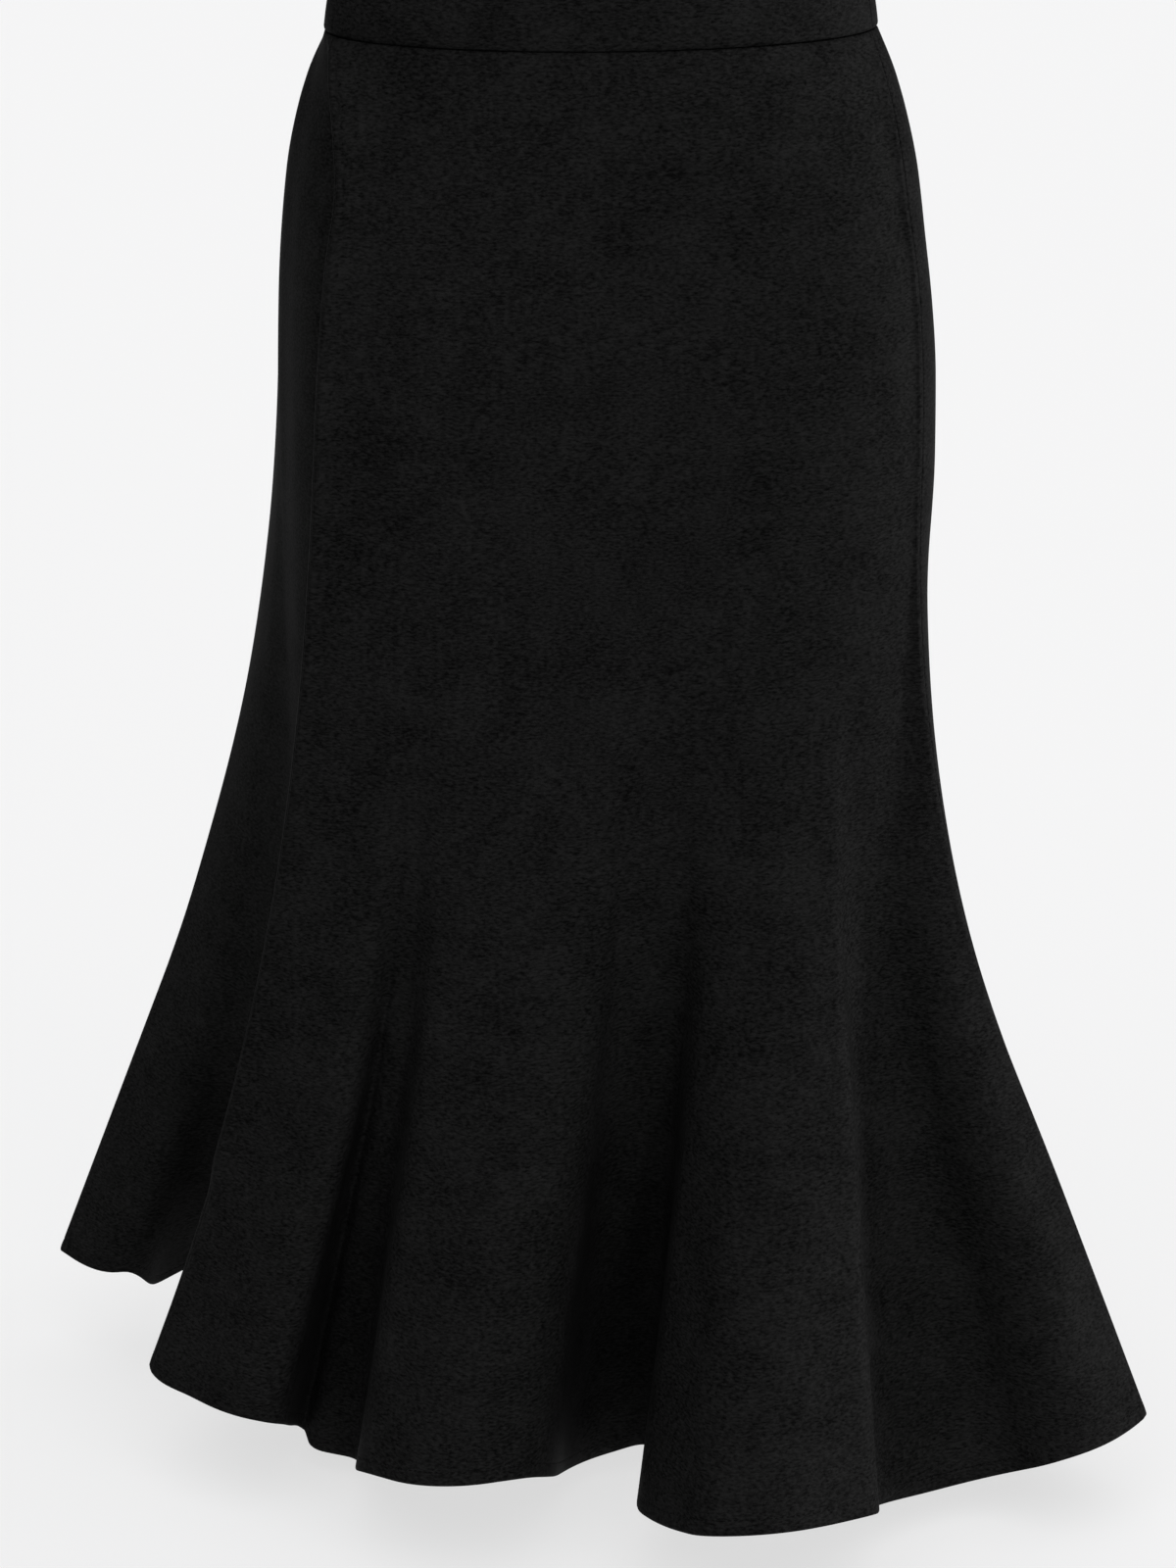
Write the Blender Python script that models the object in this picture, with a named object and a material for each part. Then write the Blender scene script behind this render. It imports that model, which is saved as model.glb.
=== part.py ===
"""Mermaid fishtail skirt in its worn shape, as four cut and sewn cloth pieces.

Metres, +Z up. The origin is the middle of the waistband's ring, half way up the
band. The front faces -Y and the wearer's left side faces +X. Tables and driving
sizes are in millimetres and degrees; plan angles run counterclockwise from +X.
"""
import bpy
import numpy as np

# ---------------------------------------------------------------- driving sizes (mm)
BAND_HEIGHT = 45.0       # finished height of the waistband
BAND_WALL = 2.8          # the band is folded double
BAND_PROUD = 0.8         # how far the band stands outside the panels
BAND_TOP_IN = 9.0        # the band leans in by this much from its seam to its top
BAND_CURVE = 0.45        # part of that lean which grows with the square of the height
CLOTH_LENGTH = 753.0     # cloth from the waist seam to the hem
PANEL_WALL = 1.8         # one layer of crepe with its loft
HEM_WALL = 2.8           # the turned hem is double
HEM_DEPTH = 9.0          # height of the turned hem
HEM_STEP = 8.0           # height over which the wall thickens to the hem
SEAM_GAP = 0.3           # space left between two pieces at a seam
HIP_DOWN = 110.0         # cloth distance at which fold lines have reached their hip angle
CREASE_START = 40.0      # cloth distance over which a standing ridge grows from the seam
WAIST_BACK = 7.0         # the waist ring's centre lies this far behind the hips' axis
STEP = 15.0              # wished spacing of grid columns at the hem
FINE_ROWS = 299          # steps in which a line of cloth is followed down
LEAST_DROP = 0.3         # least drop of a line, as part of its length
SMOOTH_TO = 38.0         # edges that bend less than this (degrees) are shaded smooth
BLACK_CREPE = (0.012, 0.012, 0.0125)
CREPE_ROUGHNESS = 0.9

# ------------------------------------------------- body sections the cloth hangs over
# cloth distance below the waist seam, half width, depth to the front, depth to the
# back, and how square the front and the back of the section are (2 is an ellipse)
BODY = (
    # down  half   front  back  square_front square_back
    (0.0, 137.3, 75.0, 91.0, 2.0, 2.2),
    (30.0, 147.0, 86.0, 104.0, 2.3, 2.3),
    (80.0, 157.3, 94.0, 119.0, 2.9, 2.4),
    (140.0, 162.5, 101.0, 128.0, 3.3, 2.4),
    (200.0, 164.3, 103.0, 128.0, 3.4, 2.4),
    (280.0, 165.3, 102.0, 120.0, 3.3, 2.4),
    (360.0, 166.3, 101.0, 113.0, 3.1, 2.4),
    (480.0, 169.0, 100.0, 110.0, 2.8, 2.4),
    (753.0, 168.5, 100.0, 110.0, 2.6, 2.4),
)

# ------------------------------------------------------------------- folds of the flare
# one row for each crest or valley, going round from the left side seam by the back:
# its plan angle at the waist seam and at the hips, the place of its hem in plan, the
# cloth distance at which it leaves the body, how slowly it turns outwards (part of the
# rest), how softly it is rounded (part of the way to the next row), how far it stands
# off the body above the flare, and how much higher its hem hangs than its length gives
FOLDS = (
    # name             waist    hip  hem_x  hem_y onset ease  soft stand  lift
    ("left_seam",        -9.0, -23.0,   287,  -115,  227, 0.63, 0.15,  2.0,   -7),
    ("back_valley_1",    12.0,   8.0,   181,    24,  330, 0.50, 0.40,  0.0,    0),
    ("back_crest_1",     36.0,  34.0,   264,   144,  300, 0.50, 0.40,  0.0,    0),
    ("back_valley_2",    58.0,  56.0,    91,   102,  350, 0.50, 0.40,  0.0,    0),
    ("back_crest_2",     78.0,  78.0,    88,   277,  300, 0.50, 0.50,  0.0,    0),
    ("back_valley_3",    98.0,  98.0,   -12,   106,  350, 0.50, 0.40,  0.0,    0),
    ("back_crest_3",    118.0, 118.0,  -133,   272,  300, 0.50, 0.50,  0.0,    0),
    ("back_valley_4",   138.0, 141.0,  -104,   118,  350, 0.50, 0.40,  0.0,    0),
    ("back_crest_4",    158.0, 166.0,  -312,   124,  114, 0.68, 0.30,  1.0,   -7),
    ("fold_1",          164.0, 173.0,  -282,    80,  135, 0.75, 0.50,  1.0,    6),
    ("fold_1_end",      169.0, 179.5,  -257,    70,  200, 0.75, 0.40,  1.0,   14),
    ("side_valley",     173.5, 187.0,  -246,   122,  380, 0.60, 0.40, -4.0,  -53),
    ("side_valley_end", 177.5, 197.0,  -173,    91,  400, 0.60, 0.40, -8.0,    0),
    ("seam_foot",       182.0, 206.0,  -228,   -14,  250, 0.90, 0.30, -8.0,    0),
    ("right_seam",      187.0, 210.0,  -255,   -44,   66, 0.98, 0.40,  4.5,   -8),
    ("lobe_1",          198.0, 215.0,  -208,   -88,  300, 0.70, 0.50,  0.0,   11),
    ("lobe_1_end",      207.0, 218.0,  -176,  -102,  290, 0.60, 0.40,  0.0,   18),
    ("front_valley_1",  213.0, 221.5,  -166,   -38,  290, 0.60, 0.40,  0.0,  -21),
    ("valley_1_floor",  215.0, 223.0,  -162,   -54,  290, 0.60, 0.30,  0.0,  -26),
    ("valley_1_end",    217.0, 224.5,  -135,   -69,  290, 0.60, 0.30,  0.0,  -20),
    ("lobe_2_edge",     223.0, 229.0,  -139,  -149,  290, 0.60, 0.25,  0.0,   15),
    ("lobe_2",          241.0, 244.0,  -103,  -186,  290, 0.60, 0.50,  0.0,   19),
    ("lobe_2_end",      267.0, 268.0,   -40,  -177,  290, 0.60, 0.40,  0.0,   25),
    ("front_valley_2",  275.0, 275.0,   -21,   -77,  290, 0.60, 0.40,  0.0,  -19),
    ("valley_2_end",    290.0, 289.0,    32,   -68,  290, 0.60, 0.40,  0.0,   -8),
    ("lobe_3_edge",     300.0, 298.0,     3,  -183,  290, 0.60, 0.35,  0.0,    4),
    ("lobe_3_start",    306.0, 302.5,    16,  -222,  290, 0.60, 0.50,  0.0,    3),
    ("lobe_3",          316.0, 310.5,    40,  -258,  290, 0.60, 0.50,  0.0,    0),
    ("lobe_3_ridge",    326.0, 321.5,   127,  -227,  308, 0.47, 0.12,  0.0,    4),
    ("ridge_foot",      330.0, 327.0,   131,  -159,  380, 0.50, 0.40,  0.0,  -15),
    ("front_valley_3",  336.0, 332.0,   196,  -122,  360, 0.50, 0.50,  0.0,  -20),
    ("lobe_4",          342.0, 336.0,   239,  -164,  300, 0.50, 0.50,  0.0,   -1),
)
LEFT_SEAM = 0            # rows of FOLDS that the two side seams run along
RIGHT_SEAM = 14

# cloth distances of the panels' cross rows above the turned hem
CROSS_ROWS = (0, 22, 50, 90, 140, 200, 265, 325, 380, 430, 480, 535, 595, 660)

MM = 0.001


def between(x, table_x, table_y):
    """Smooth curve through a table that never overshoots it."""
    xs = np.asarray(table_x, float)
    ys = np.asarray(table_y, float)
    slope = np.diff(ys) / np.diff(xs)
    turn = np.zeros_like(ys)
    same = slope[1:] * slope[:-1] > 0
    turn[1:-1] = np.where(same, 2 * slope[1:] * slope[:-1] / (slope[1:] + slope[:-1] + 1e-12), 0)
    turn[0] = slope[0]
    turn[-1] = slope[-1]
    i = np.clip(np.searchsorted(xs, x, side="right") - 1, 0, len(xs) - 2)
    h = xs[i + 1] - xs[i]
    t = np.clip((x - xs[i]) / h, 0, 1)
    rise = ys[i] * (2 * t**3 - 3 * t**2 + 1) + ys[i + 1] * (3 * t**2 - 2 * t**3)
    return rise + h * (turn[i] * (t**3 - 2 * t**2 + t) + turn[i + 1] * (t**3 - t**2))


def lean(t, soft):
    """Bend from 0 to a slope of 1 at t = 0, rounded as a parabola over soft on either side."""
    return np.where(np.abs(t) < soft, (soft + t) ** 2 / (4 * soft), np.maximum(t, 0))


def body_radius(down, angle):
    """Distance of the body section from its axis, at a cloth distance and an angle."""
    table = np.array(BODY)
    half, front, back, square_f, square_b = (between(down, table[:, 0], table[:, k]) for k in range(1, 6))
    forward = np.sin(angle) < 0
    depth = np.where(forward, front, back)
    power = np.where(forward, square_f, square_b)
    return (np.abs(np.cos(angle) / half) ** power + np.abs(np.sin(angle) / depth) ** power) ** (-1 / power)


def lines(counts):
    """Grid lines down the cloth: counts[i] steps from fold row i to the next one.

    Straight from row to row, and rounded over each row as far as the row is soft.
    """
    rows = np.array([row[1:] for row in FOLDS])
    once_round = np.array([360, 360, 0, 0, 0, 0, 0, 0, 0])
    rows = np.vstack([rows[-1:] - once_round, rows, rows[:2] + once_round])
    turn = np.concatenate([i + np.arange(n) / n for i, n in enumerate(counts)])
    near = np.rint(turn).astype(int)
    t = turn - near
    here, before, after = rows[near + 1], rows[near], rows[near + 2]
    soft = here[:, 6]
    bent = here + (after - here) * lean(t, soft)[:, None] + (before - here) * lean(-t, soft)[:, None]
    return dict(zip(("waist", "hip", "hem_x", "hem_y", "onset", "ease", "soft", "stand", "lift"), bent.T))


def outside(down, counts):
    """Points of the panels' outer face: rows by cloth distance, columns round the skirt.

    A line lies on the body until its onset. From there it swings out towards its hem
    point, as a parabola at first and then straight, and drops by what keeps its length.
    """
    line = lines(counts)
    fine = np.linspace(0, CLOTH_LENGTH, FINE_ROWS)[:, None]
    step = CLOTH_LENGTH / (FINE_ROWS - 1)
    to_hip = np.clip(fine / HIP_DOWN, 0, 1)
    angle = np.radians(line["waist"] + (line["hip"] - line["waist"]) * (2 * to_hip - to_hip**2))
    left = np.clip((fine - line["onset"]) / (CLOTH_LENGTH - line["onset"]), 0, None)
    ease = line["ease"]
    flare = np.where(left < ease, left**2 / (2 * ease), left - ease / 2) / (1 - ease / 2)
    stand = line["stand"] * np.clip(fine / CREASE_START, 0, 1) * (1 - flare)
    radius = body_radius(fine, angle) + stand
    x, y = radius * np.cos(angle), radius * np.sin(angle) - WAIST_BACK
    x = x + (line["hem_x"] - x[-1]) * flare
    y = y + (line["hem_y"] - y[-1]) * flare
    aside = np.diff(x, axis=0) ** 2 + np.diff(y, axis=0) ** 2
    fall = np.cumsum(np.sqrt(np.maximum(step**2 - aside, (LEAST_DROP * step) ** 2)), axis=0)
    height = -BAND_HEIGHT / 2 - np.vstack([np.zeros_like(fall[:1]), fall]) + line["lift"] * flare
    grid = np.stack([x, y, height], axis=-1)
    at = np.asarray(down, float) / step
    low = np.clip(at.astype(int), 0, FINE_ROWS - 2)
    part = (at - low)[:, None, None]
    return grid[low] * (1 - part) + grid[low + 1] * part


def unit(v):
    """Vectors of length one."""
    return v / np.maximum(np.linalg.norm(v, axis=-1, keepdims=True), 1e-12)


def outward(grid):
    """Unit normals of a closed ring of grid lines, pointing out of the skirt."""
    round_on = unit(np.roll(grid, -1, axis=1) - grid)
    round_back = unit(grid - np.roll(grid, 1, axis=1))
    down = np.gradient(grid, axis=0)
    return unit(unit(np.cross(down, round_on)) + unit(np.cross(down, round_back)))


def wall_mesh(name, outer, inner):
    """One closed cloth wall between an outer and an inner grid of the same size."""
    rows, cols = outer.shape[:2]
    points = np.vstack([outer.reshape(-1, 3), inner.reshape(-1, 3)]) * MM
    index = np.arange(rows * cols).reshape(rows, cols)
    other = index + rows * cols
    faces = []

    def strip(a, b, c, d):
        """Quads between two lines of points, as two triangles each."""
        faces.extend(np.stack([a, b, c], axis=-1).reshape(-1, 3).tolist())
        faces.extend(np.stack([a, c, d], axis=-1).reshape(-1, 3).tolist())

    strip(index[:-1, :-1], index[1:, :-1], index[1:, 1:], index[:-1, 1:])
    strip(other[:-1, :-1], other[:-1, 1:], other[1:, 1:], other[1:, :-1])
    strip(index[0, :-1], index[0, 1:], other[0, 1:], other[0, :-1])
    strip(index[-1, 1:], index[-1, :-1], other[-1, :-1], other[-1, 1:])
    strip(index[1:, 0], index[:-1, 0], other[:-1, 0], other[1:, 0])
    strip(index[:-1, -1], index[1:, -1], other[1:, -1], other[:-1, -1])
    mesh = bpy.data.meshes.new(name)
    mesh.from_pydata(points.tolist(), [], faces)
    mesh.update()
    mesh.shade_smooth()
    mesh.set_sharp_from_angle(angle=np.radians(SMOOTH_TO))
    ob = bpy.data.objects.new(name, mesh)
    bpy.context.scene.collection.objects.link(ob)
    material = bpy.data.materials.new(name + "_crepe")
    material.use_nodes = True
    shader = material.node_tree.nodes["Principled BSDF"]
    shader.inputs["Base Color"].default_value = (*BLACK_CREPE, 1)
    shader.inputs["Roughness"].default_value = CREPE_ROUGHNESS
    shader.inputs["Metallic"].default_value = 0.0
    mesh.materials.append(material)
    return ob


def cut(grid, wall, first, last, level_rows):
    """Outer and inner grids of the piece between two lines of a closed ring.

    The rows in level_rows lie along a seam or an edge that is cut square.
    """
    cols = np.arange(first, last + 1) % grid.shape[1]
    normal = outward(grid)
    outer = grid[:, cols].copy()
    inner = outer - normal[:, cols] * np.reshape(wall, (-1, 1, 1))
    across = unit(np.cross(np.gradient(outer, axis=0), normal[:, cols]))
    for end, beside in ((0, 1), (-1, -2)):
        along = unit(outer[:, beside] - outer[:, end])
        slant = np.abs(np.sum(along * across[:, end], axis=-1, keepdims=True))
        for face in (outer, inner):
            face[:, end] += along * SEAM_GAP / 2 / slant
    inner[level_rows, :, 2] = outer[level_rows, :, 2]
    return outer, inner


def column_counts():
    """Grid steps from each fold row to the next, from their distance at the hem."""
    hem_x, hem_y = (np.array([row[k] for row in FOLDS + FOLDS[:1]]) for k in (3, 4))
    gap = np.hypot(np.diff(hem_x), np.diff(hem_y))
    return np.clip(np.ceil(gap / STEP), 3, 9).astype(int)


def band_ring(counts):
    """Outer face of the waistband, rows from its seam to its top."""
    rows = np.linspace(0, 1, 4)
    line = lines(counts)
    angle = np.radians(line["waist"])
    seam = body_radius(np.zeros_like(angle), angle) + BAND_PROUD
    inwards = BAND_TOP_IN * ((1 - BAND_CURVE) * rows + BAND_CURVE * rows**2)
    radius = seam[None] - inwards[:, None]
    height = -BAND_HEIGHT / 2 + SEAM_GAP + (BAND_HEIGHT - SEAM_GAP) * rows
    height = np.broadcast_to(height[:, None], radius.shape)
    return np.stack([radius * np.cos(angle), radius * np.sin(angle) - WAIST_BACK, height], axis=-1)


def build():
    """The two panels and the two halves of the waistband."""
    for ob in list(bpy.data.objects):
        bpy.data.objects.remove(ob, do_unlink=True)
    counts = column_counts()
    start = np.concatenate([[0], np.cumsum(counts)])
    hem_rows = (CLOTH_LENGTH - HEM_DEPTH - HEM_STEP, CLOTH_LENGTH - HEM_DEPTH, CLOTH_LENGTH)
    down = np.array(CROSS_ROWS + hem_rows, float)
    wall = np.full(len(down), PANEL_WALL)
    wall[-2:] = HEM_WALL
    grid = outside(down, counts)
    seam_a, seam_b, whole = start[LEFT_SEAM], start[RIGHT_SEAM], start[-1]
    back = cut(grid, wall, seam_a, seam_b, [0])
    front = cut(grid, wall, seam_b, whole, [0])
    wall_mesh("front_panel", front[0], front[1])
    wall_mesh("back_panel", back[0], back[1])
    few = np.maximum(2, (counts + 1) // 2)
    start = np.concatenate([[0], np.cumsum(few)])
    ring = band_ring(few)[::-1]
    seam_a, seam_b, whole = start[LEFT_SEAM], start[RIGHT_SEAM], start[-1]
    back = cut(ring, BAND_WALL, seam_a, seam_b, [0, -1])
    front = cut(ring, BAND_WALL, seam_b, whole, [0, -1])
    wall_mesh("waistband_front", front[0], front[1])
    wall_mesh("waistband_back", back[0], back[1])


build()
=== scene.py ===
"""Mermaid fishtail skirt in black stretch crepe, in its worn shape, in a plain pale studio."""
import bpy
import numpy as np
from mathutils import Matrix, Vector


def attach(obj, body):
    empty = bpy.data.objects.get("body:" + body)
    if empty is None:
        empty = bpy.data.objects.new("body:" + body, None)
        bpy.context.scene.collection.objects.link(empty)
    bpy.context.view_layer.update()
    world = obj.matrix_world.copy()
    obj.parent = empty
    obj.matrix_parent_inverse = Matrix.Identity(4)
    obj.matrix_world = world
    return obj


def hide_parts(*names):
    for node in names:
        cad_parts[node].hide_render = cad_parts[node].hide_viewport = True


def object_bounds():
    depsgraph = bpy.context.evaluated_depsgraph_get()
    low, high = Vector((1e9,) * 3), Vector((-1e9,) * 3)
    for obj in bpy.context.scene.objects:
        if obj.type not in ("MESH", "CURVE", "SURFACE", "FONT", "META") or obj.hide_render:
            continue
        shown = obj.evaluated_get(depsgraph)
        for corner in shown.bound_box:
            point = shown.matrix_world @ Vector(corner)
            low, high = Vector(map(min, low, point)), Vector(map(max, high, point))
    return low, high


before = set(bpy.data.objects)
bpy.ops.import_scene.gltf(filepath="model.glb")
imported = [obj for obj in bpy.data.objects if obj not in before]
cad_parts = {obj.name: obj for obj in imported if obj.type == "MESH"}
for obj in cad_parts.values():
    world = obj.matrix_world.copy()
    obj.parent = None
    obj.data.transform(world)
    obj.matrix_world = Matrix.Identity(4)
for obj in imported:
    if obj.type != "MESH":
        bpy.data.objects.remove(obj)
cad_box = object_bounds()


# ------------------------------------------------------------------ the hanging cloth
# The front and the back are each cut in one from waist to hem, close over the hips and
# wide below, so that the cloth falls in deep soft folds. They hang from the waistband
# and are sewn together down the two sides. Sizes in millimetres, angles in degrees.
MM = 0.001
CLOTH_LENGTH = 753.0     # cloth from the waist seam to the hem
WAIST_SEAM = -22.5       # height of the waist seam
WAIST_BACK = 7.0         # the waist's centre lies this far behind the hips' axis
HIP_DOWN = 110.0         # cloth distance at which fold lines have reached their hip angle
CREASE_START = 40.0      # cloth distance over which a standing ridge grows from the seam
FINE_ROWS = 299          # steps in which a line of cloth is followed down
LEAST_DROP = 0.3         # least drop of a line, as part of its length
NEARLY_ZERO = 1e-12

BODY = (
    # down   half  front   back square_front square_back
    (0.0,   137.3,  75.0,  91.0,         2.0,        2.2),
    (30.0,  147.0,  86.0, 104.0,         2.3,        2.3),
    (80.0,  157.3,  94.0, 119.0,         2.9,        2.4),
    (140.0, 162.5, 101.0, 128.0,         3.3,        2.4),
    (200.0, 164.3, 103.0, 128.0,         3.4,        2.4),
    (280.0, 165.3, 102.0, 120.0,         3.3,        2.4),
    (360.0, 166.3, 101.0, 113.0,         3.1,        2.4),
    (480.0, 169.0, 100.0, 110.0,         2.8,        2.4),
    (753.0, 168.5, 100.0, 110.0,         2.6,        2.4),
)
FOLDS = (
    # name             waist    hip  hem_x  hem_y onset ease  soft stand  lift
    ("left_seam",        -9.0, -23.0,   287,  -115,  227, 0.63, 0.15,  2.0,   -7),
    ("back_valley_1",    12.0,   8.0,   181,    24,  330, 0.50, 0.40,  0.0,    0),
    ("back_crest_1",     36.0,  34.0,   264,   144,  300, 0.50, 0.40,  0.0,    0),
    ("back_valley_2",    58.0,  56.0,    91,   102,  350, 0.50, 0.40,  0.0,    0),
    ("back_crest_2",     78.0,  78.0,    88,   277,  300, 0.50, 0.50,  0.0,    0),
    ("back_valley_3",    98.0,  98.0,   -12,   106,  350, 0.50, 0.40,  0.0,    0),
    ("back_crest_3",    118.0, 118.0,  -133,   272,  300, 0.50, 0.50,  0.0,    0),
    ("back_valley_4",   138.0, 141.0,  -104,   118,  350, 0.50, 0.40,  0.0,    0),
    ("back_crest_4",    158.0, 166.0,  -312,   124,  114, 0.68, 0.30,  1.0,   -7),
    ("fold_1",          164.0, 173.0,  -282,    80,  135, 0.75, 0.50,  1.0,    6),
    ("fold_1_end",      169.0, 179.5,  -257,    70,  200, 0.75, 0.40,  1.0,   14),
    ("side_valley",     173.5, 187.0,  -246,   122,  380, 0.60, 0.40, -4.0,  -53),
    ("side_valley_end", 177.5, 197.0,  -173,    91,  400, 0.60, 0.40, -8.0,    0),
    ("seam_foot",       182.0, 206.0,  -228,   -14,  250, 0.90, 0.30, -8.0,    0),
    ("right_seam",      187.0, 210.0,  -255,   -44,   66, 0.98, 0.40,  4.5,   -8),
    ("lobe_1",          198.0, 215.0,  -208,   -88,  300, 0.70, 0.50,  0.0,   11),
    ("lobe_1_end",      207.0, 218.0,  -176,  -102,  290, 0.60, 0.40,  0.0,   18),
    ("front_valley_1",  213.0, 221.5,  -166,   -38,  290, 0.60, 0.40,  0.0,  -21),
    ("valley_1_floor",  215.0, 223.0,  -162,   -54,  290, 0.60, 0.30,  0.0,  -26),
    ("valley_1_end",    217.0, 224.5,  -135,   -69,  290, 0.60, 0.30,  0.0,  -20),
    ("lobe_2_edge",     223.0, 229.0,  -139,  -149,  290, 0.60, 0.25,  0.0,   15),
    ("lobe_2",          241.0, 244.0,  -103,  -186,  290, 0.60, 0.50,  0.0,   19),
    ("lobe_2_end",      267.0, 268.0,   -40,  -177,  290, 0.60, 0.40,  0.0,   25),
    ("front_valley_2",  275.0, 275.0,   -21,   -77,  290, 0.60, 0.40,  0.0,  -19),
    ("valley_2_end",    290.0, 289.0,    32,   -68,  290, 0.60, 0.40,  0.0,   -8),
    ("lobe_3_edge",     300.0, 298.0,     3,  -183,  290, 0.60, 0.35,  0.0,    4),
    ("lobe_3_start",    306.0, 302.5,    16,  -222,  290, 0.60, 0.50,  0.0,    3),
    ("lobe_3",          316.0, 310.5,    40,  -258,  290, 0.60, 0.50,  0.0,    0),
    ("lobe_3_ridge",    326.0, 321.5,   127,  -227,  308, 0.47, 0.12,  0.0,    4),
    ("ridge_foot",      330.0, 327.0,   131,  -159,  380, 0.50, 0.40,  0.0,  -15),
    ("front_valley_3",  336.0, 332.0,   196,  -122,  360, 0.50, 0.50,  0.0,  -20),
    ("lobe_4",          342.0, 336.0,   239,  -164,  300, 0.50, 0.50,  0.0,   -1),
)
FOLD_COLUMNS = ("waist", "hip", "hem_x", "hem_y", "onset", "ease", "soft", "stand", "lift")
ONCE_ROUND = np.array([360, 360, 0, 0, 0, 0, 0, 0, 0])
LEFT_SEAM = 0            # fold lines that the two side seams run along
RIGHT_SEAM = 14


def between(x, table_x, table_y):
    """Smooth curve through a table: cubic between knots, slopes damped so it never overshoots."""
    xs = np.asarray(table_x, float)
    ys = np.asarray(table_y, float)
    slope = np.diff(ys) / np.diff(xs)
    turn = np.zeros_like(ys)
    same = slope[1:] * slope[:-1] > 0
    turn[1:-1] = np.where(same, 2 * slope[1:] * slope[:-1] / (slope[1:] + slope[:-1] + NEARLY_ZERO), 0)
    turn[0] = slope[0]
    turn[-1] = slope[-1]
    i = np.clip(np.searchsorted(xs, x, side="right") - 1, 0, len(xs) - 2)
    h = xs[i + 1] - xs[i]
    t = np.clip((x - xs[i]) / h, 0, 1)
    rise = ys[i] * (2 * t**3 - 3 * t**2 + 1) + ys[i + 1] * (3 * t**2 - 2 * t**3)
    return rise + h * (turn[i] * (t**3 - 2 * t**2 + t) + turn[i + 1] * (t**3 - t**2))


def lean(t, soft):
    """Bend from 0 to a slope of 1 at t = 0, rounded as a parabola over soft on either side."""
    return np.where(np.abs(t) < soft, (soft + t) ** 2 / (4 * soft), np.maximum(t, 0))


def body_radius(down, angle):
    """Distance to the body's section from its axis.

    The section is |cos a / half|^p + |sin a / depth|^p = r^-p, with its sizes from BODY.
    """
    at, *columns = np.array(BODY).T
    half, front, back, square_front, square_back = [between(down, at, column) for column in columns]
    forward = np.sin(angle) < 0
    depth = np.where(forward, front, back)
    power = np.where(forward, square_front, square_back)
    across = np.abs(np.cos(angle) / half) ** power
    deep = np.abs(np.sin(angle) / depth) ** power
    return (across + deep) ** (-1 / power)


def fold_line(turn):
    """Fold table read at any place round the skirt; turn counts its rows from the left seam.

    Straight from row to row, and rounded over each row as far as the row is soft.
    """
    rows = np.array([row[1:] for row in FOLDS])
    rows = np.vstack([rows[-1:] - ONCE_ROUND, rows, rows[:2] + ONCE_ROUND])
    near = np.rint(turn).astype(int)
    t = turn - near
    here, before, after = rows[near + 1], rows[near], rows[near + 2]
    soft = here[:, FOLD_COLUMNS.index("soft")]
    forth = (after - here) * lean(t, soft)[:, None]
    back = (before - here) * lean(-t, soft)[:, None]
    return dict(zip(FOLD_COLUMNS, (here + forth + back).T))


def hang(down, turn):
    """Outer face of the cloth, a grid of down (cloth distance) by turn (place round).

    A line lies on the body until its onset. From there it swings out towards its hem
    point, as a parabola at first and then straight, and drops by what keeps its length.
    """
    line = fold_line(turn)
    fine = np.linspace(0, CLOTH_LENGTH, FINE_ROWS)[:, None]
    step = CLOTH_LENGTH / (FINE_ROWS - 1)
    to_hip = np.clip(fine / HIP_DOWN, 0, 1)
    angle = np.radians(line["waist"] + (line["hip"] - line["waist"]) * (2 * to_hip - to_hip**2))
    left = np.clip((fine - line["onset"]) / (CLOTH_LENGTH - line["onset"]), 0, None)
    ease = line["ease"]
    flare = np.where(left < ease, left**2 / (2 * ease), left - ease / 2) / (1 - ease / 2)
    stand = line["stand"] * np.clip(fine / CREASE_START, 0, 1) * (1 - flare)
    radius = body_radius(fine, angle) + stand
    x, y = radius * np.cos(angle), radius * np.sin(angle) - WAIST_BACK
    x = x + (line["hem_x"] - x[-1]) * flare
    y = y + (line["hem_y"] - y[-1]) * flare
    aside = np.diff(x, axis=0) ** 2 + np.diff(y, axis=0) ** 2
    fall = np.cumsum(np.sqrt(np.maximum(step**2 - aside, (LEAST_DROP * step) ** 2)), axis=0)
    height = WAIST_SEAM - np.vstack([np.zeros_like(fall[:1]), fall]) + line["lift"] * flare
    grid = np.stack([x, y, height], axis=-1)
    at = np.asarray(down, float) / step
    low = np.clip(at.astype(int), 0, FINE_ROWS - 2)
    part = (at - low)[:, None, None]
    return grid[low] * (1 - part) + grid[low + 1] * part


def unit(v):
    """Vectors of length one."""
    return v / np.maximum(np.linalg.norm(v, axis=-1, keepdims=True), NEARLY_ZERO)


def outward(grid):
    """Unit normals of a closed ring: downward step crossed with the mean step round."""
    around = unit(np.roll(grid, -1, axis=1) - grid) + unit(grid - np.roll(grid, 1, axis=1))
    return unit(np.cross(np.gradient(grid, axis=0), around))


# the grid of columns round the skirt and rows down it, spread evenly along the hem and
# closer on the front, where the folds are sharper
FRONT_STEP = 3.6
BACK_STEP = 5.0
ROW_STEP = 4.2
FEWEST_COLUMNS = 8       # between two fold lines
MOST_COLUMNS = 40

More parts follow.
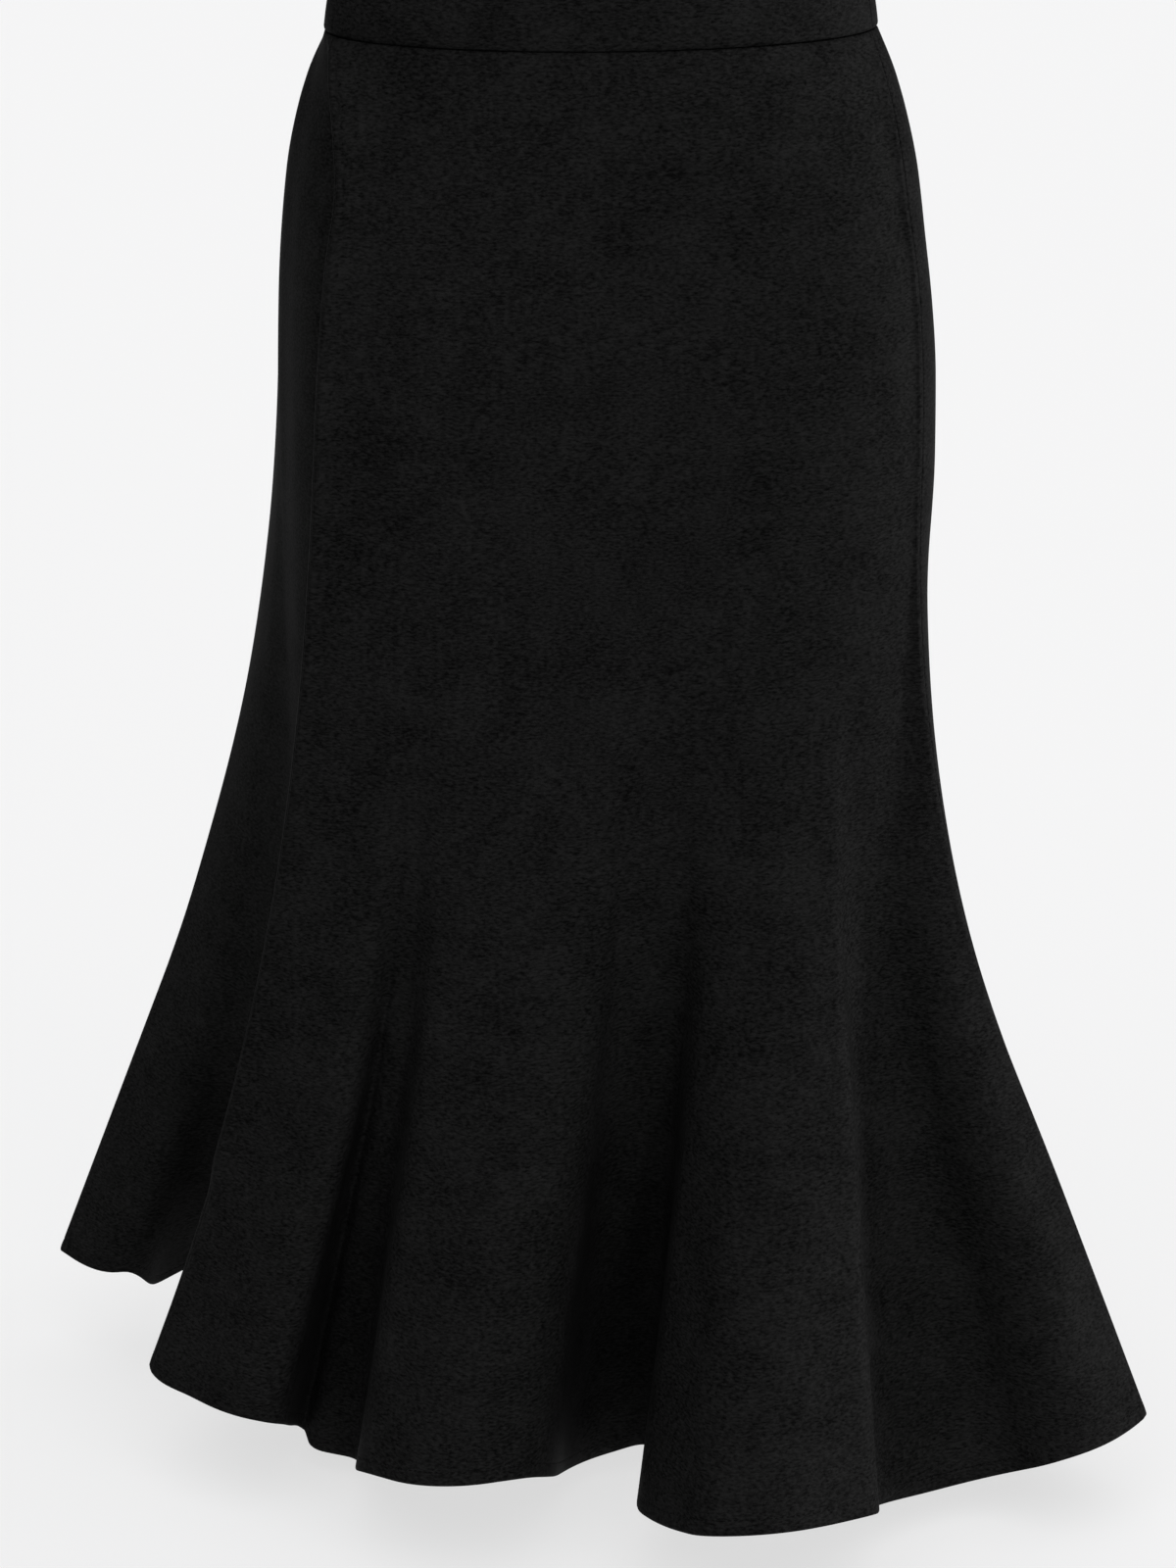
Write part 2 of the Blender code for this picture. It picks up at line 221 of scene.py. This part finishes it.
hem_x, hem_y = (np.array([row[k] for row in FOLDS + FOLDS[:1]]) for k in (3, 4))
hem_gap = np.hypot(np.diff(hem_x), np.diff(hem_y))
hem_step = np.where(np.arange(len(FOLDS)) < RIGHT_SEAM, BACK_STEP, FRONT_STEP)
counts = np.clip(np.ceil(hem_gap / hem_step), FEWEST_COLUMNS, MOST_COLUMNS).astype(int)
turn = np.concatenate([i + np.arange(n) / n for i, n in enumerate(counts)])
first_column = np.concatenate([[0], np.cumsum(counts)])
down = np.linspace(0, CLOTH_LENGTH, round(CLOTH_LENGTH / ROW_STEP))

# soft creases in the hanging cloth, listed one by one on the front, and more like them at the
# back. Sizes in millimetres of cloth; the place round is counted in rows of FOLDS, and a
# crease with a negative height is a trough. Those that end past the hem run out at it.
CREASES = (
    # name              start  end  fade  place   foot  height reach
    ("right_seam_ridge",    0,  640,  25, 14.10, 14.00,   3.6,   6.5),
    ("lobe_1_belly",      420,  999, 200, 15.20, 15.30,   5.0,  40.0),
    ("lobe_2_belly",      420,  999, 200, 21.40, 21.30,   4.0,  45.0),
    ("valley_2_line",     300,  430,  40, 25.20, 25.60,  -0.8,   5.0),
    ("lobe_3_belly",      400,  999, 200, 27.30, 27.40,   7.0,  60.0),
    ("lobe_4_belly",      430,  999, 200, 31.60, 31.70,   4.0,  50.0),
    ("left_seat_round",   100,  300,  80,  0.35,  0.35,   3.0,  40.0),
    ("left_seat_hollow",  210,  330,  60,  3.20,  3.40,  -1.5,  30.0),
    ("right_seat_hollow", 220,  340,  60,  6.00,  5.80,  -1.2,  26.0),
    ("back_1_belly",      430,  999, 200,  2.10,  2.00,   4.0,  45.0),
    ("back_2_belly",      430,  999, 200,  4.00,  3.90,   4.0,  50.0),
    ("back_3_belly",      430,  999, 200,  6.00,  6.10,   5.0,  50.0),
)


def creased(grid):
    """The cloth with its creases, moved along its normals.

    Across, a crease is height (1 - u^2)^2, with u the distance round from its line as part
    of its reach. Along, it fades in and out as 3 t^2 - 2 t^3.
    """
    step = np.linalg.norm(np.roll(grid, -1, axis=1) - grid, axis=-1)
    around = np.cumsum(step, axis=1) - step
    whole = step.sum(axis=1, keepdims=True)
    rows = np.arange(len(down))
    out = np.zeros(grid.shape[:2])
    for name, start, end, fade, place, foot, height, reach in CREASES:
        line = np.interp(down, (start, min(end, CLOTH_LENGTH)), (place, foot))
        column = np.interp(line, turn, np.arange(len(turn)))
        low = np.clip(column.astype(int), 0, len(turn) - 2)
        here = around[rows, low] + (around[rows, low + 1] - around[rows, low]) * (column - low)
        gap = (around - here[:, None] + whole / 2) % whole - whole / 2
        across = np.clip(1 - (gap / reach) ** 2, 0, 1) ** 2
        t = np.clip(np.minimum(down - start, end - down) / fade, 0, 1)
        out += height * across * (3 * t**2 - 2 * t**3)[:, None]
    return grid + outward(grid) * out[..., None]


cloth = creased(hang(down, turn))
normal = outward(cloth)

# how a panel is finished at its top and its hem: cloth distance, and the depth of its
# outer and its inner face. The crepe rolls in at the waist seam, and the hem is turned
# once, so that it is double and has a round edge.
TOP_EDGE = (
    # down  outer  inner
    (0.05, 1.00, 1.90),
    (0.40, 0.55, 1.60),
    (0.95, 0.20, 1.35),
    (1.80, 0.00, 1.30),
)
HEM_EDGE = (
    # down   outer inner
    (743.3,   0.00, 1.40),
    (744.2,   0.04, 2.50),
    (745.2,   0.22, 2.60),
    (746.2,   0.04, 2.60),
    (747.4,  -0.10, 2.60),
    (750.4,  -0.10, 2.60),
    (751.7,   0.05, 2.45),
    (752.5,   0.42, 2.10),
    (752.95,  0.95, 1.55),
)
EDGE_CLEAR = 1.0         # least cloth between an edge's rows and the plain rows
CLOTH_WALL = 1.3
SEAM_ROLL = 0.55         # how deep the crepe turns in at a side seam
ROLL_WIDTH = 1.8         # and over how much of its width
ROLL_LIMIT = 0.8         # or over this part of the nearest column, where that is less
ROLL_PLACES = (0.0, 0.25, 0.6, 1.0)
CORNER_SHARE = 0.5       # how much of a top or hem row's own depth adds to the roll
SEAM_SPACE = 0.1
SHARP_EDGE = 50.0        # angle from which an edge is shaded sharp


def panel_rows():
    """Cross rows of a panel: cloth distance, outer and inner depth."""
    plain = down[(down > TOP_EDGE[-1][0] + EDGE_CLEAR) & (down < HEM_EDGE[0][0] - EDGE_CLEAR)]
    plain = np.stack([plain, np.zeros_like(plain), np.full_like(plain, CLOTH_WALL)], axis=-1)
    return np.vstack([TOP_EDGE, plain, HEM_EDGE])


def at_rows(grid, distance):
    """Rows of a grid at any cloth distance, linear between the rows it has."""
    at = np.interp(distance, down, np.arange(len(down)))
    low = np.clip(at.astype(int), 0, len(down) - 2)
    part = (at - low)[:, None, None]
    return grid[low] * (1 - part) + grid[low + 1] * part


def with_edges(face, facing):
    """Adds narrow columns beside both side seams; returns them with their place in the roll.

    Each new column stands a share of ROLL_WIDTH from the seam, measured along its row.
    The roll is 1 at the seam and falls to 0 as a square.
    """
    share = np.array(ROLL_PLACES)
    sides = []
    for end, beside in ((0, 1), (-1, -2)):
        run = face[:, beside] - face[:, end]
        length = np.linalg.norm(run, axis=-1, keepdims=True)
        reach = np.minimum(ROLL_WIDTH, ROLL_LIMIT * length)
        along = (SEAM_SPACE / 2 + share * reach)[..., None] * (run / length)[:, None]
        sides.append(face[:, end, None] + along)
    turned = [np.repeat(facing[:, end, None], len(share), axis=1) for end in (0, -1)]
    face = np.concatenate([sides[0], face[:, 1:-1], sides[1][:, ::-1]], axis=1)
    facing = np.concatenate([turned[0], facing[:, 1:-1], turned[1]], axis=1)
    roll = np.zeros(face.shape[1])
    roll[:len(share)] = (1 - share) ** 2
    roll[-len(share):] = (1 - share[::-1]) ** 2
    return face, facing, roll


def wall_mesh(name, outer, inner):
    """Closed cloth wall between an outer and an inner grid of the same size, in quads."""
    rows, cols = outer.shape[:2]
    index = np.arange(rows * cols).reshape(rows, cols)
    other = index + rows * cols
    sheets = (
        (index[:-1, :-1], index[1:, :-1], index[1:, 1:], index[:-1, 1:]),
        (other[:-1, :-1], other[:-1, 1:], other[1:, 1:], other[1:, :-1]),
        (index[0, :-1], index[0, 1:], other[0, 1:], other[0, :-1]),
        (index[-1, 1:], index[-1, :-1], other[-1, :-1], other[-1, 1:]),
        (index[1:, 0], index[:-1, 0], other[:-1, 0], other[1:, 0]),
        (index[:-1, -1], index[1:, -1], other[1:, -1], other[:-1, -1]),
    )
    faces = np.vstack([np.stack(corners, axis=-1).reshape(-1, 4) for corners in sheets])
    points = np.vstack([outer.reshape(-1, 3), inner.reshape(-1, 3)]) * MM
    mesh = bpy.data.meshes.new(name)
    mesh.from_pydata(points.tolist(), [], faces.tolist())
    mesh.update()
    mesh.shade_smooth()
    mesh.set_sharp_from_angle(angle=np.radians(SHARP_EDGE))
    piece = bpy.data.objects.new(name, mesh)
    bpy.context.scene.collection.objects.link(piece)
    return piece


def panel(name, first, last):
    """One skirt panel between two fold lines, as a closed wall with rolled edges."""
    rows = panel_rows()
    cols = np.arange(first_column[first], first_column[last] + 1) % cloth.shape[1]
    at = rows[:, 0]
    face, facing, roll = with_edges(at_rows(cloth, at)[:, cols], at_rows(normal, at)[:, cols])
    outer_depth = np.maximum(rows[:, 1:2], SEAM_ROLL * roll[None] + rows[:, 1:2] * CORNER_SHARE)
    outer = face - facing * outer_depth[..., None]
    inner = face - facing * rows[:, 2:3, None]
    return wall_mesh(name, outer, inner)


PANEL_ENDS = {"front_panel": (RIGHT_SEAM, len(FOLDS)), "back_panel": (LEFT_SEAM, RIGHT_SEAM)}
front_panel = panel("front_panel_crepe", *PANEL_ENDS["front_panel"])
back_panel = panel("back_panel_crepe", *PANEL_ENDS["back_panel"])


# Stretch crepe: dull black, hard-twisted yarn, so the face is pebbled by a grain of one
# or two millimetres, longer across the cloth than down it, and catches light only at a
# low angle. The grain stands in relief, and its colour carries painted shade: its hollows
# are painted darker and its tops lighter. The dye also lies slightly uneven, in patches.
GRAIN_ACROSS = 2.6 * MM
GRAIN_DOWN = 1.1 * MM
GRAIN_RELIEF = 0.3 * MM
DYE_PATCH = 28 * MM
DYE_SHARE = 0.25         # how much of the unevenness is in patches, not in the grain
# below GRAIN_LOW the colour is all the painted shade of the hollows, above GRAIN_HIGH all the painted
# light of the tops
GRAIN_LOW = 0.35         # noise below this is all hollow, and above the next all top
GRAIN_HIGH = 0.65


def linear(code):
    """sRGB hex code as linear red, green, blue."""
    value = np.array([int(code[i:i + 2], 16) for i in (1, 3, 5)]) / 255
    return tuple(np.where(value <= 0.04045, value / 12.92, ((value + 0.055) / 1.055) ** 2.4))


def add(tree, kind, links=(), **settings):
    """Adds one node; settings are its own values or, by input name, its sockets' values."""
    node = tree.nodes.new(kind)
    for key, value in settings.items():
        label = key.replace("_", " ")
        if hasattr(node, key):
            setattr(node, key, value)
        else:
            node.inputs[label].default_value = value
    for socket, source in links:
        tree.links.new(source, node.inputs[socket])
    return node


def two_blacks(tree, noise, low, high):
    """Colour that runs from one black to another as a noise rises; low and high are (value, code)."""
    ramp = add(tree, "ShaderNodeValToRGB", [("Fac", noise.outputs[0])])
    for stop, (value, code) in zip(ramp.color_ramp.elements, (low, high)):
        stop.position = value
        stop.color = (*linear(code), 1)
    return ramp.outputs[0]


def black_crepe(name, shade_in_hollows, light_on_tops):
    """Black stretch crepe, its colour running from the painted shade of its grain's hollows to the
    painted light of its tops.
    """
    material = bpy.data.materials.new(name)
    material.use_nodes = True
    tree = material.node_tree
    shader = tree.nodes["Principled BSDF"]
    place = add(tree, "ShaderNodeTexCoord").outputs["Object"]
    fine = (1 / GRAIN_ACROSS, 1 / GRAIN_ACROSS, 1 / GRAIN_DOWN)
    yarn = add(tree, "ShaderNodeMapping", [("Vector", place)], Scale=fine).outputs[0]
    grain = add(tree, "ShaderNodeTexNoise", [("Vector", yarn)],
                Scale=1.0, Detail=2.0, Roughness=0.6)
    patch = add(tree, "ShaderNodeTexNoise", [("Vector", place)],
                Scale=1 / DYE_PATCH, Detail=3.0, Roughness=0.6)
    both = add(tree, "ShaderNodeMix", [(2, grain.outputs[0]), (3, patch.outputs[0])],
               data_type="FLOAT")
    both.inputs[0].default_value = DYE_SHARE
    # painted shade: the colour follows the grain's relief, darker in its hollows and lighter on its
    # tops, with uneven dye in patches mixed in
    shade = two_blacks(tree, both, (GRAIN_LOW, shade_in_hollows), (GRAIN_HIGH, light_on_tops))
    bump = add(tree, "ShaderNodeBump", [("Height", grain.outputs[0])],
               Strength=0.6, Distance=GRAIN_RELIEF)
    tree.links.new(shade, shader.inputs["Base Color"])
    tree.links.new(bump.outputs[0], shader.inputs["Normal"])
    shader.inputs["Roughness"].default_value = 0.6
    shader.inputs["Specular IOR Level"].default_value = 0.005
    shader.inputs["Sheen Weight"].default_value = 0.001
    shader.inputs["Sheen Roughness"].default_value = 0.5
    return material


# the two blacks: #070707 is painted shade in the grain's hollows, #1b1b1b painted light on its tops
crepe = black_crepe("black_stretch_crepe", "#070707", "#1b1b1b")

# The hem's stitching: one row of matching polyester thread a little under a centimetre
# above the edge, each stitch a short round loop that dips into the cloth at both ends.
STITCH_DOWN = 745.2      # cloth distance of the row, in the groove that it pulls in the hem
STITCH_PITCH = 3.0
STITCH_LENGTH = 2.3
STITCH_WIDTH = 0.45
STITCH_DEPTH = 0.05      # of its middle, under the cloth's outer face
STITCH_DIP = 0.35        # how much deeper its ends lie
STITCH_RINGS = 5
STITCH_SIDES = 5
END_TAPER = 0.7          # how much of its thickness, squared, is gone at its ends
TWIST_SIZE = 0.4 * MM
TWIST_LOW = 0.4
TWIST_HIGH = 0.6


def hem_stitches(name, first, last):
    """The row of stitches along one panel's hem, as one mesh of short closed tubes."""
    cols = np.arange(first_column[first], first_column[last] + 1) % cloth.shape[1]
    line = at_rows(cloth, np.array([STITCH_DOWN]))[0, cols]
    facing = at_rows(normal, np.array([STITCH_DOWN]))[0, cols]
    along = np.concatenate([[0], np.cumsum(np.linalg.norm(np.diff(line, axis=0), axis=-1))])
    middle = np.arange(STITCH_PITCH, along[-1] - STITCH_PITCH, STITCH_PITCH)
    share = np.linspace(-1, 1, STITCH_RINGS)
    at = middle[:, None] + share * STITCH_LENGTH / 2
    place = np.stack([np.interp(at, along, line[:, k]) for k in range(3)], axis=-1)
    out = unit(np.stack([np.interp(at, along, facing[:, k]) for k in range(3)], axis=-1))
    side = unit(np.cross(out, unit(place[:, -1:] - place[:, :1])))
    middle_line = place - out * (STITCH_DEPTH + STITCH_DIP * share**2)[:, None]
    radius = STITCH_WIDTH / 2 * np.sqrt(1 - END_TAPER * share**2)
    spoke = np.arange(STITCH_SIDES) * 2 * np.pi / STITCH_SIDES
    aside = side[..., None, :] * np.cos(spoke)[:, None]
    above = out[..., None, :] * np.sin(spoke)[:, None]
    points = middle_line[..., None, :] + (aside + above) * radius[:, None, None]
    index = np.arange(points[..., 0].size).reshape(points.shape[:3])
    after = np.roll(index, -1, axis=2)
    tube = np.stack([index[:, :-1], after[:, :-1], after[:, 1:], index[:, 1:]], axis=-1)
    caps = np.vstack([index[:, 0, ::-1], index[:, -1]])
    faces = tube.reshape(-1, 4).tolist() + caps.tolist()
    mesh = bpy.data.meshes.new(name)
    mesh.from_pydata((points.reshape(-1, 3) * MM).tolist(), [], faces)
    mesh.update()
    mesh.shade_smooth()
    piece = bpy.data.objects.new(name, mesh)
    bpy.context.scene.collection.objects.link(piece)
    return piece


def black_thread(name, shade_in_hollows, light_on_tops):
    """Black polyester thread. Its twist is too fine to draw, so its light and shade are painted: a
    mottle of a darker and a lighter black.
    """
    material = bpy.data.materials.new(name)
    material.use_nodes = True
    tree = material.node_tree
    shader = tree.nodes["Principled BSDF"]
    place = add(tree, "ShaderNodeTexCoord").outputs["Object"]
    twist = add(tree, "ShaderNodeTexNoise", [("Vector", place)], Scale=1 / TWIST_SIZE, Detail=1.0)
    shade = two_blacks(tree, twist, (TWIST_LOW, shade_in_hollows), (TWIST_HIGH, light_on_tops))
    tree.links.new(shade, shader.inputs["Base Color"])
    shader.inputs["Roughness"].default_value = 0.55
    shader.inputs["Specular IOR Level"].default_value = 0.02
    return material


# painted shade of the twist: #040404 for its hollows, #101010 for its lit tops
thread = black_thread("black_polyester_thread", "#040404", "#101010")

# each panel hangs from its half of the band. Its cut is given in metres and square metres;
# its hem is an arc when it lies flat, and the width is that from one end of it to the other
for piece, node, hangs_from, width, length, area in (
    (front_panel, "front_panel", "waistband_front", 1.00, 0.78, 0.355),
    (back_panel, "back_panel", "waistband_back", 1.25, 0.78, 0.58),
):
    piece.data.materials.append(crepe)
    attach(piece, "root")
    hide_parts(node)
    stitches = hem_stitches(f"{node}_hem_stitches", *PANEL_ENDS[node])
    stitches.data.materials.append(thread)
    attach(stitches, "root")


# ------------------------------------------------------------------------- waistband
# A straight band folded double along its top, in two halves joined at the sides and
# sewn to the panels, with its lower edge standing just proud of them.
BAND_HEIGHT = 45.0
BAND_PROUD = 0.8
BAND_TOP_IN = 9.0        # how far its top leans in towards the waist
BAND_CURVE = 0.45        # and how much of that comes in a curve
BAND_SECTION = (
    # up    outer  inner
    (0.10, 1.30, 2.30),
    (0.45, 0.70, 2.60),
    (1.00, 0.25, 2.75),
    (1.90, 0.00, 2.80),
    (8.00, 0.00, 2.80),
    (15.0, 0.00, 2.80),
    (22.0, 0.00, 2.80),
    (29.0, 0.00, 2.80),
    (36.0, 0.00, 2.80),
    (43.0, 0.00, 2.80),
    (44.2, 0.20, 2.60),
    (44.8, 0.70, 2.10),
    (45.0, 1.30, 1.50),
)


def band(name, first, last):
    """Half of the waistband: the waist's section, leaning in towards its top."""
    line = fold_line(turn)
    angle = np.radians(line["waist"])
    up = np.array(BAND_SECTION)[:, 0]
    share = up / BAND_HEIGHT
    inward = BAND_TOP_IN * ((1 - BAND_CURVE) * share + BAND_CURVE * share**2)
    radius = (body_radius(np.zeros_like(angle), angle) + BAND_PROUD)[None] - inward[:, None]
    height = np.broadcast_to((WAIST_SEAM + up)[:, None], radius.shape)
    ring = np.stack([radius * np.cos(angle), radius * np.sin(angle) - WAIST_BACK, height], axis=-1)
    cols = np.arange(first_column[first], first_column[last] + 1) % len(turn)
    face, facing, roll = with_edges(ring[:, cols], -outward(ring)[:, cols])
    rows = np.array(BAND_SECTION)
    outer_depth = np.maximum(rows[:, 1:2], SEAM_ROLL * roll[None])
    outer = face - facing * outer_depth[..., None]
    inner = face - facing * rows[:, 2:3, None]
    return wall_mesh(name, outer[::-1], inner[::-1])


for name, node, first, last, width in (
    ("waistband_front_crepe", "waistband_front", RIGHT_SEAM, len(FOLDS), 0.32),
    ("waistband_back_crepe", "waistband_back", LEFT_SEAM, RIGHT_SEAM, 0.43),
):
    piece = band(name, first, last)
    piece.data.materials.append(crepe)
    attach(piece, "root")
    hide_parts(node)


# ------------------------------------------------------------ floor, light and camera
# A broad sheet of white acrylic just under the hem, lit from below as well as from above
# so that shadows on it stay faint, a broad light overhead, and soft low lights in front
# and to the right.
FLOOR_GAP = 0.014
FLOOR_GLOW = 0.66
FLOOR_REACH = 12         # metres from the middle to each side
floor_height = cad_box[0][2] - FLOOR_GAP
square = ((-1, -1), (1, -1), (1, 1), (-1, 1))
corners = [(FLOOR_REACH * x, FLOOR_REACH * y, floor_height) for x, y in square]
mesh = bpy.data.meshes.new("floor")
mesh.from_pydata(corners, [], [(0, 1, 2, 3)])
floor = bpy.data.objects.new("floor", mesh)
bpy.context.scene.collection.objects.link(floor)
acrylic = bpy.data.materials.new("lit_white_acrylic")
acrylic.use_nodes = True
acrylic_shader = acrylic.node_tree.nodes["Principled BSDF"]
acrylic_shader.inputs["Base Color"].default_value = (*linear("#868687"), 1)
acrylic_shader.inputs["Roughness"].default_value = 0.9
acrylic_shader.inputs["Specular IOR Level"].default_value = 0.1
acrylic_shader.inputs["Emission Color"].default_value = (1, 1, 1, 1)
acrylic_shader.inputs["Emission Strength"].default_value = FLOOR_GLOW
mesh.materials.append(acrylic)

world = bpy.data.worlds.new("studio")
world.use_nodes = True
world.node_tree.nodes["Background"].inputs["Color"].default_value = (1, 1, 1, 1)
world.node_tree.nodes["Background"].inputs["Strength"].default_value = 0.1
bpy.context.scene.world = world
bpy.context.scene.view_settings.view_transform = "Standard"


def soft_sun(name, azimuth, elevation, strength, width):
    """A soft distant light; azimuth 0 shines from the front, 90 from the right. In degrees."""
    light = bpy.data.lights.new(name, "SUN")
    light.energy = strength
    light.angle = np.radians(width)
    lamp = bpy.data.objects.new(name, light)
    lamp.rotation_euler = (np.radians(90 - elevation), 0, np.radians(azimuth))
    bpy.context.scene.collection.objects.link(lamp)


for light in (
    # name               azimuth elevation strength width
    ("overhead_light",          0,      88,    1.80,  100),
    ("high_front_light",        0,      60,    0.90,   60),
    ("low_front_light",        15,       6,    0.55,   12),
    ("low_front_right_light",  45,       6,    0.50,   12),
    ("low_right_light",        95,       6,    2.80,   12),
):
    soft_sun(*light)

# the camera stands in front, a little to the skirt's right, and looks down on it
CAMERA_PLACE = (-0.1498, -2.1017, 0.3212)
VIEW = (0.0642, 0.9405, -0.3337)
LENS = 96.73             # focal length and picture height on the sensor, in millimetres
SENSOR_HEIGHT = 36
lens = bpy.data.cameras.new("camera")
lens.sensor_fit = "VERTICAL"
lens.sensor_height = SENSOR_HEIGHT
lens.lens = LENS
camera = bpy.data.objects.new("camera", lens)
camera.location = CAMERA_PLACE
pitch = np.arcsin(VIEW[2] / np.linalg.norm(VIEW))
heading = np.arctan2(-VIEW[0], VIEW[1])
camera.rotation_euler = (np.pi / 2 + pitch, 0, heading)
bpy.context.scene.collection.objects.link(camera)
bpy.context.scene.camera = camera
